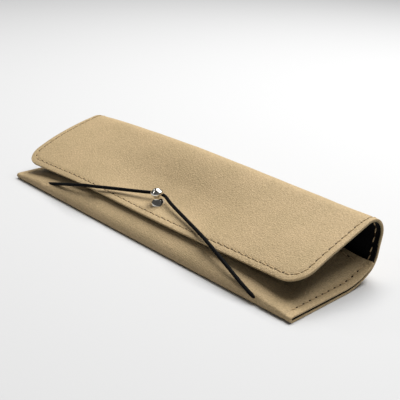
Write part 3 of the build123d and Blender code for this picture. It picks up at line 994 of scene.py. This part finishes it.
bottom_grid, bottom_marks = part_of(pocket_grid, pocket_marks, bottom_start, len(pocket_grid))
bag_grid, bag_marks = part_of(pocket_grid, pocket_marks, 0, wall_rows)
plies = [
    ("base_board_sheet", bottom_grid, bottom_marks, BOARD_PLY, inked_board, (False, True)),
    ("back_board_sheet", back_grid, back_marks, BOARD_PLY, inked_board, (True, True)),
    ("flap_board_sheet", flap_grid, flap_marks, BOARD_PLY, fibre_board, (True, False)),
    ("base_lining_sheet", bottom_grid, bottom_marks, LINING_PLY, black_flock, (False, True)),
    ("back_lining_sheet", back_grid, back_marks, LINING_PLY, black_flock, (True, True)),
    ("flap_lining_sheet", flap_grid, flap_marks, LINING_PLY, black_flock, (True, False)),
    ("pocket_lining_sheet", bag_grid, bag_marks, POCKET_LINING_PLY, black_flock, (False, False)),
]
replaced = {
    "base_board_sheet": ("base_board",),
    "flap_board_sheet": ("flap_board", "spine_board"),
    "base_lining_sheet": ("base_lining",),
    "flap_lining_sheet": ("flap_lining", "spine_lining"),
    "pocket_lining_sheet": ("pocket_lining",),
}
inner_sheets = {}
for name, grid, marks, ply, material, (open_first, open_last) in plies:
    inset = FLAP_BOARD_INSET if name.startswith("flap_board") else INNER_INSET
    piece = sheet(name, grid, ply, material, marks, INNER_EDGE, inset, open_first, open_last)
    if name.startswith("back"):
        on_back(piece)
    elif name.startswith("flap"):
        on_crest(piece)
    else:
        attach(piece, "base")
    if name in replaced:
        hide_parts(*replaced[name])
    inner_sheets[name] = piece
print("inner sheets:", list(inner_sheets))

# %% [markdown]
# ## Stitching
# A lockstitch in leather shows as short lengths of thread that dive into needle holes. Each stitch
# is a small bent tube that sinks at both ends, and between two stitches a flat dark brown lens is
# painted shadow where the thread dives into its hole. They are set on the leather itself: each
# point of a row is moved to the nearest point of its sheet.


# %% Stitches
def surface_tree(obj):
    """A search tree of a mesh, in metres."""
    mesh = obj.data
    return BVHTree.FromPolygons([v.co for v in mesh.vertices], [list(p.vertices) for p in mesh.polygons])


def evenly(points, spots):
    """Points of a polyline at the given lengths along it."""
    points = np.asarray(points, float)
    run = np.concatenate([[0], np.cumsum(np.linalg.norm(np.diff(points, axis=0), axis=1))])
    return np.column_stack([np.interp(spots, run, points[:, k]) for k in range(3)])


def row_length(points):
    """Length of a polyline."""
    return float(np.linalg.norm(np.diff(np.asarray(points, float), axis=0), axis=1).sum())


SIDES = 8
STITCH = 2.5
# the size of the flat lens of painted shadow at each needle hole
HOLE_SHADE_LENGTH = 1.2
HOLE_SHADE_WIDTH = 0.6
CROWN = 0.16  # a stitch's middle, above the leather
DIVE = 0.42  # how far its ends drop from there
LEAN = 0.16  # how far each end stands to its side of the row
SLOPE_STEP = 0.1


def ring(centre, across, normal, width, height):
    """A flattened ring of points round a centre."""
    turns = [2 * math.pi * k / SIDES for k in range(SIDES)]
    return [centre + across * (width * math.cos(t)) + normal * (height * math.sin(t)) for t in turns]


def stitch_mesh(name, rows):
    """One object with all the stitches of some rows; a row is a search tree and its points."""
    vertices, faces, uvs, in_hole_shade = [], [], [], []

    def add_rings(rings, length, hole):
        first = len(vertices)
        for k, points in enumerate(rings):
            vertices.extend(points)
            uvs.extend([(n / SIDES, k / len(rings) * length) for n in range(SIDES)])
        faces.extend(bridge(first, len(rings), SIDES))
        faces.append(tuple(first + n for n in reversed(range(SIDES))))
        faces.append(tuple(first + (len(rings) - 1) * SIDES + n for n in range(SIDES)))
        in_hole_shade.extend([hole] * (len(faces) - len(in_hole_shade)))

    for tree, points in rows:
        length = row_length(points)
        count = round(length / PITCH)
        pitch = length / count
        for k in range(count):
            middle = (k + 0.5) * pitch
            shares = np.linspace(-1, 1, 9)
            line = evenly(points, middle + shares * STITCH / 2)
            placed = [tree.find_nearest(Vector(p * MM))[:2] for p in line]
            rings = []
            ahead = Vector(line[-1] - line[0]).normalized()
            for share, (at, normal) in zip(shares, placed):
                across = ahead.cross(normal).normalized()
                lift = CROWN - DIVE * share**4
                centre = at / MM + normal * lift + across * (LEAN * share)
                radius = THREAD / 2 * (1 - 0.25 * share**2)
                rings.append(ring(centre, across, normal, radius, radius * 0.8))
            add_rings(rings, STITCH, 0)
        # between two stitches, a flat dark lens on the leather: painted shadow of the needle hole
        for k in range(1, count):
            centre = evenly(points, [k * pitch])[0]
            nearby = evenly(points, [k * pitch - 0.5, k * pitch + 0.5])
            ahead = Vector(nearby[1] - nearby[0]).normalized()
            at, normal = tree.find_nearest(Vector(centre * MM))[:2]
            across = ahead.cross(normal).normalized()
            rings = []
            for share in np.linspace(-0.97, 0.97, 7):
                girth = math.sqrt(1 - share**2)
                spot = at / MM + ahead * (share * HOLE_SHADE_LENGTH / 2)
                rings.append(ring(spot, across, normal, girth * HOLE_SHADE_WIDTH / 2, girth * 0.05))
            add_rings(rings, HOLE_SHADE_LENGTH, 1)
    obj = link(vertices, faces, uvs, name, bonded_thread)
    # the second material paints the needle holes' shadow
    obj.data.materials.append(painted_hole_shade)
    obj.data.polygons.foreach_set("material_index", in_hole_shade)
    sharpen(obj, [])
    print(name, "holes and stitches:", len(faces) // (8 * SIDES))
    return obj


def model(points):
    """Points whose y is counted from the front fold, in the frame."""
    return [(x, FRONT + y, z) for x, y, z in points]


def flap_path(depth):
    """Along the stitch row of the flap, from wall to wall, at a depth below the leather's face."""
    start = wall_point(WALL_SPLIT + 0.05)
    side = [(SPINE_HALF - EDGE_ROW, start[0] - depth, start[1])]
    for a in range(int(BACK_ANGLE), 200, 8):
        y, z = around(CREST_CENTRE, CREST_RADIUS - depth, a)
        side.append((SPINE_HALF - EDGE_ROW, y, z))
    corner = FLAP_CORNER - EDGE_ROW
    front_y = FLAP_FRONT + EDGE_ROW
    plan = [(flap_half_width(y) - EDGE_ROW, y) for y in np.linspace(40, front_y + corner, 14)]
    end_x = flap_half_width(front_y + corner) - EDGE_ROW
    for a in range(10, 91, 10):
        t = math.radians(a)
        plan.append((end_x - corner + corner * math.cos(t), front_y + corner - corner * math.sin(t)))
    plan += [(x, front_y) for x in np.linspace(plan[-1][0], 0, 24)[1:]]
    for x, y in plan:
        fall = (flap_height(x, y + SLOPE_STEP) - flap_height(x, y - SLOPE_STEP)) / (2 * SLOPE_STEP)
        across = math.hypot(1, fall)
        side.append((x, y + depth * fall / across, flap_height(x, y) - depth / across))
    line = np.array(model([(-x, y, z) for x, y, z in side] + side[-2::-1]))
    return settle(*line.T)


def seam_path(side, depth):
    """Up one end of the back, from the flat bottom to the middle of the wall."""
    line = [around(RISE_CENTRE, RISE_RADIUS - depth, a) for a in range(0, 28, 4)]
    line += [around(BEND_CENTRE, BEND_RADIUS - depth, a) for a in range(28, 81, 4)]
    top = wall_point(WALL_SPLIT - 0.05)
    line.append((top[0] - depth, top[1]))
    xs = np.linspace(SEAM_X, SPINE_HALF - EDGE_ROW, len(line))
    return model([(side * x, y, z) for x, (y, z) in zip(xs, line)])


def lifted(x, y):
    """A point just above the pocket."""
    return (x, y, pocket_height(x, y) + 0.2)


LIFT = 0.3
pocket_tree = surface_tree(pocket_leather)
side_rows = []
for side in (-1, 1):
    top_path = [lifted(side * SEAM_X, y) for y in np.linspace(3.5, MOUTH_END - 2, 20)]
    under_path = [(side * SEAM_X, y, -0.2) for y in (3.0, 12.0, 21.0, 30.0)]
    side_rows += [(pocket_tree, model(top_path)), (pocket_tree, model(under_path))]
side_thread = stitch_mesh("side_seam_thread", side_rows)
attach(side_thread, "base")
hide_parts("left_side_stitching", "right_side_stitching")

reach = SEAM_X - EDGE_ROW
mouth_path = [lifted(x, mouth(x) - EDGE_ROW) for x in np.linspace(-reach, reach, 49)]
mouth_thread = stitch_mesh("mouth_thread", [(pocket_tree, model(mouth_path))])
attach(mouth_thread, "base")
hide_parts("mouth_stitching")

back_tree = surface_tree(back_leather)
back_lining_tree = surface_tree(inner_sheets["back_lining_sheet"])
back_rows = [(back_tree, seam_path(side, -LIFT)) for side in (-1, 1)]
back_rows += [(back_lining_tree, seam_path(side, SANDWICH + LIFT)[-9:]) for side in (-1, 1)]
back_thread = stitch_mesh("back_seam_thread", back_rows)
on_back(back_thread)
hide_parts("left_spine_stitching", "right_spine_stitching")

flap_rows = [
    (surface_tree(flap_leather), flap_path(-LIFT)),
    (surface_tree(inner_sheets["flap_lining_sheet"]), flap_path(SANDWICH + LIFT)),
]
flap_thread = stitch_mesh("flap_thread", flap_rows)
on_crest(flap_thread)
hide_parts("flap_stitching")

# %% [markdown]
# ## Button stud
# The stud is turned: a flared foot stands on the leather, a slim neck carries the elastic and a
# domed head keeps it there. Its outline is spun round an axis close to square on the flap, and
# a slotted screw holds it from the lining side.

# %% Stud frame
STUD_FALL = 0.2  # how steeply the leather falls towards the front under the stud
stud_foot = Vector((0, FRONT + STUD_Y, flap_height(0, STUD_Y)))
stud_axis = Vector((0, -STUD_FALL, 1)).normalized()
stud_side = Vector((1, 0, 0))
stud_back = stud_axis.cross(stud_side)


def lathe(name, outline, material, segments=64):
    """Spin (radius, height) points round the stud's axis; the first and last lie on the axis."""
    turns = [2 * math.pi * k / segments for k in range(segments)]
    vertices = [stud_foot + stud_axis * outline[0][1]]
    uvs = [(0.0, outline[0][1])]
    for radius, height in outline[1:-1]:
        for t in turns:
            out = stud_side * math.cos(t) + stud_back * math.sin(t)
            vertices.append(stud_foot + stud_axis * height + out * radius)
            uvs.append((t * radius, height))
    vertices.append(stud_foot + stud_axis * outline[-1][1])
    uvs.append((0.0, outline[-1][1]))
    rings = len(outline) - 2
    faces = bridge(1, rings, segments)
    last = 1 + (rings - 1) * segments
    for n in range(segments):
        m = (n + 1) % segments
        faces.append((0, 1 + m, 1 + n))
        faces.append((last + n, last + m, len(vertices) - 1))
    obj = link(vertices, faces, uvs, name, material)
    sharpen(obj, [])
    return obj


# %% Stud
FOOT_RADIUS = 3.1
NECK_RADIUS = 1.5
HEAD_RADIUS = 2.6
HEAD_EDGE = 1.1
HEAD_EQUATOR = 5.0
HEAD_UNDER = 3.75
STUD_HEIGHT = 7.0
foot = [(0.0, -0.2), (FOOT_RADIUS, -0.2), (FOOT_RADIUS, 0.12), (FOOT_RADIUS - 0.1, 0.28)]
flare = [(2.92, 0.62), (2.68, 1.05), (2.32, 1.5), (1.92, 1.9), (1.62, 2.2)]
neck = [(NECK_RADIUS, 2.6), (NECK_RADIUS, 3.2), (1.56, 3.5), (1.72, 3.7)]
under = [(1.98, 3.84)]
head = []
for degrees in range(-60, 65, 12):
    t = math.radians(degrees)
    ring_radius = HEAD_RADIUS - HEAD_EDGE
    head.append((ring_radius + HEAD_EDGE * math.cos(t), HEAD_EQUATOR + HEAD_EDGE * math.sin(t)))
last_radius, last_height = head[-1]
for k in range(1, 7):
    share = k / 7
    rise = (STUD_HEIGHT - last_height) * (1 - (1 - share) ** 2)
    head.append((last_radius * (1 - share), last_height + rise))
stud = lathe("stud_turning", foot + flare + neck + under + head + [(0.0, STUD_HEIGHT)], nickel_plate, 96)
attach(stud, "flap")
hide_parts("button_stud")

# %% Screw
SCREW_RADIUS = 2.5
SCREW_HEAD = 0.5
SLOT = (0.6, 0.25)
seat = -SANDWICH - GLUE


SCREW_SIDES = 48


def slotted_head(name):
    """A round screw head whose slot is cut into its free face."""
    work = bmesh.new()
    turns = [2 * math.pi * k / SCREW_SIDES for k in range(SCREW_SIDES)]
    levels = [(SCREW_RADIUS, 0.0), (SCREW_RADIUS, -0.35), (SCREW_RADIUS - 0.15, -SCREW_HEAD)]
    rings_made = []
    for radius, height in levels:
        spots = [(radius * math.cos(t), radius * math.sin(t), height) for t in turns]
        rings_made.append([work.verts.new(spot) for spot in spots])
    for upper_ring, lower_ring in zip(rings_made, rings_made[1:]):
        for n in range(SCREW_SIDES):
            m = (n + 1) % SCREW_SIDES
            work.faces.new((upper_ring[n], lower_ring[n], lower_ring[m], upper_ring[m]))
    work.faces.new(rings_made[0])
    work.faces.new(list(reversed(rings_made[-1])))
    mesh = bpy.data.meshes.new(name)
    bmesh.ops.recalc_face_normals(work, faces=work.faces)
    work.to_mesh(mesh)
    work.free()
    obj = add_object(name, mesh)
    cutter_mesh = bpy.data.meshes.new("slot_cutter")
    long, wide, deep = SCREW_RADIUS + 1, SLOT[0] / 2, SLOT[1]
    heights = (-SCREW_HEAD - 1, deep - SCREW_HEAD)
    corners = [(x, y, z) for x in (-long, long) for y in (-wide, wide) for z in heights]
    cutter_mesh.from_pydata(
        corners, [], [(0, 1, 3, 2), (4, 6, 7, 5), (0, 4, 5, 1), (2, 3, 7, 6), (0, 2, 6, 4), (1, 5, 7, 3)]
    )
    cutter = add_object("slot_cutter", cutter_mesh)
    cut = obj.modifiers.new("slot", "BOOLEAN")
    cut.operation = "DIFFERENCE"
    cut.object = cutter
    cut.solver = "EXACT"
    bpy.context.view_layer.update()
    graph = bpy.context.evaluated_depsgraph_get()
    finished = bpy.data.meshes.new_from_object(obj.evaluated_get(graph))
    obj.modifiers.clear()
    obj.data = finished
    bpy.data.objects.remove(cutter)
    finished.name = name
    finished.materials.append(nickel_plate)
    return obj


screw = slotted_head("screw_head")
stud_turn = Matrix((stud_side, stud_back, stud_axis)).transposed().to_4x4()
screw_place = Matrix.Translation((stud_foot + stud_axis * seat) * MM)
screw.data.transform(screw_place @ stud_turn @ Matrix.Scale(MM, 4))
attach(screw, "flap")
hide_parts("stud_screw")
print("stud and screw:", len(stud.data.polygons), len(screw.data.polygons), "faces")

# %% [markdown]


# %% [markdown]
# ## Floor and light
# The case stands on a plain white floor in soft studio light from above and behind, which leaves
# the pocket's front in soft shade and gives the nickel something bright to mirror.

# %% Floor and light
floor_material, floor_tree, floor_out = new_material("white_floor")
floor_shader = add_node(
    floor_tree, "ShaderNodeBsdfPrincipled", {"Base Color": linear("#c8c8c8"), "Roughness": 0.9}
)
floor_tree.links.new(floor_shader.outputs["BSDF"], floor_out.inputs["Surface"])
floor_mesh = bpy.data.meshes.new("floor")
REACH = 3.0
floor_mesh.from_pydata(
    [(-REACH, -REACH, 0), (REACH, -REACH, 0), (REACH, REACH, 0), (-REACH, REACH, 0)], [], [(0, 1, 2, 3)]
)
floor_mesh.materials.append(floor_material)
floor = add_object("floor", floor_mesh)

world = bpy.data.worlds.new("studio")
world.use_nodes = True
world.node_tree.nodes["Background"].inputs["Color"].default_value = (1.0, 1.0, 1.0, 1.0)
world.node_tree.nodes["Background"].inputs["Strength"].default_value = 0.08
bpy.context.scene.world = world
bpy.context.scene.view_settings.view_transform = "Standard"


LIGHT_AIM = Vector((0, 0, 0.01))


def soft_light(name, place, size, power):
    """A square area light that faces the case."""
    data = bpy.data.lights.new(name, "AREA")
    data.size = size
    data.energy = power
    obj = add_object(name, data)
    obj.location = place
    obj.rotation_euler = (LIGHT_AIM - Vector(place)).to_track_quat("-Z", "Y").to_euler()


soft_light("key", (0.0, 0.38, 0.88), 0.8, 17.0)
soft_light("side", (-0.75, -0.1, 0.55), 0.2, 0.5)
soft_light("glint", (-0.3, -0.4, 0.45), 0.07, 0.16)
